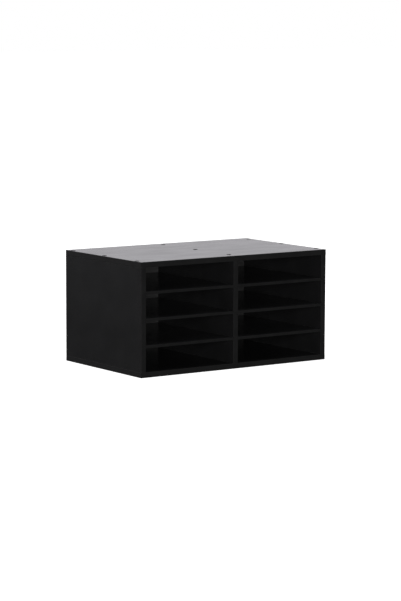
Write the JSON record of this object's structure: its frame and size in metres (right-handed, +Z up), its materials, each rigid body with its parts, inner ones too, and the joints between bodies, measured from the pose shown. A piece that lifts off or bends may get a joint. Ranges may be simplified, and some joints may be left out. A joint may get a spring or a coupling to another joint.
{
  "type": "desk sorter",
  "caption": "Desktop sorter case with columns of flat, open-front compartments for envelopes and letter-size paper, divided by thin shelves that pull out.",
  "frame": {"origin": "centre of the sorter's footprint, on the surface it stands on", "axes": "+X to the right along the width, seen from the open front; +Y from the open front to the back; +Z up"},
  "size_m": [0.495, 0.305, 0.2493],
  "materials": {
    "case_board": "satin black melamine on particle board",
    "case_edging": "satin black edging",
    "back_board": "smooth black-faced hardboard",
    "shelf_board": "satin black melamine on thin fibreboard",
    "shelf_edging": "satin black edging",
    "screw_steel": "black coated steel"
  },
  "bodies": {
    "case": {"top_panel": "case_board", "bottom_panel": "case_board", "left_side_panel": "case_board", "right_side_panel": "case_board", "centre_divider": "case_board", "back_panel": "back_board", "top_front_edging": "case_edging", "top_left_edging": "case_edging", "top_right_edging": "case_edging", "bottom_front_edging": "case_edging", "bottom_left_edging": "case_edging", "bottom_right_edging": "case_edging", "left_side_edging": "case_edging", "right_side_edging": "case_edging", "centre_divider_edging": "case_edging", "top_left_screws": "screw_steel", "top_centre_screws": "screw_steel", "top_right_screws": "screw_steel", "bottom_left_screws": "screw_steel", "bottom_centre_screws": "screw_steel", "bottom_right_screws": "screw_steel"},
    "left_lower_shelf": {"left_lower_shelf": "shelf_board", "left_lower_shelf_edging": "shelf_edging"},
    "left_middle_shelf": {"left_middle_shelf": "shelf_board", "left_middle_shelf_edging": "shelf_edging"},
    "left_upper_shelf": {"left_upper_shelf": "shelf_board", "left_upper_shelf_edging": "shelf_edging"},
    "right_lower_shelf": {"right_lower_shelf": "shelf_board", "right_lower_shelf_edging": "shelf_edging"},
    "right_middle_shelf": {"right_middle_shelf": "shelf_board", "right_middle_shelf_edging": "shelf_edging"},
    "right_upper_shelf": {"right_upper_shelf": "shelf_board", "right_upper_shelf_edging": "shelf_edging"}
  },
  "joints": [
    {"name": "left_lower_shelf_slide", "type": "slide", "parent": "case", "child": "left_lower_shelf", "axis": [0, -1, 0], "range_m": [0, 0.3]},
    {"name": "left_middle_shelf_slide", "type": "slide", "parent": "case", "child": "left_middle_shelf", "axis": [0, -1, 0], "range_m": [0, 0.3]},
    {"name": "left_upper_shelf_slide", "type": "slide", "parent": "case", "child": "left_upper_shelf", "axis": [0, -1, 0], "range_m": [0, 0.3]},
    {"name": "right_lower_shelf_slide", "type": "slide", "parent": "case", "child": "right_lower_shelf", "axis": [0, -1, 0], "range_m": [0, 0.3]},
    {"name": "right_middle_shelf_slide", "type": "slide", "parent": "case", "child": "right_middle_shelf", "axis": [0, -1, 0], "range_m": [0, 0.3]},
    {"name": "right_upper_shelf_slide", "type": "slide", "parent": "case", "child": "right_upper_shelf", "axis": [0, -1, 0], "range_m": [0, 0.3]}
  ]
}
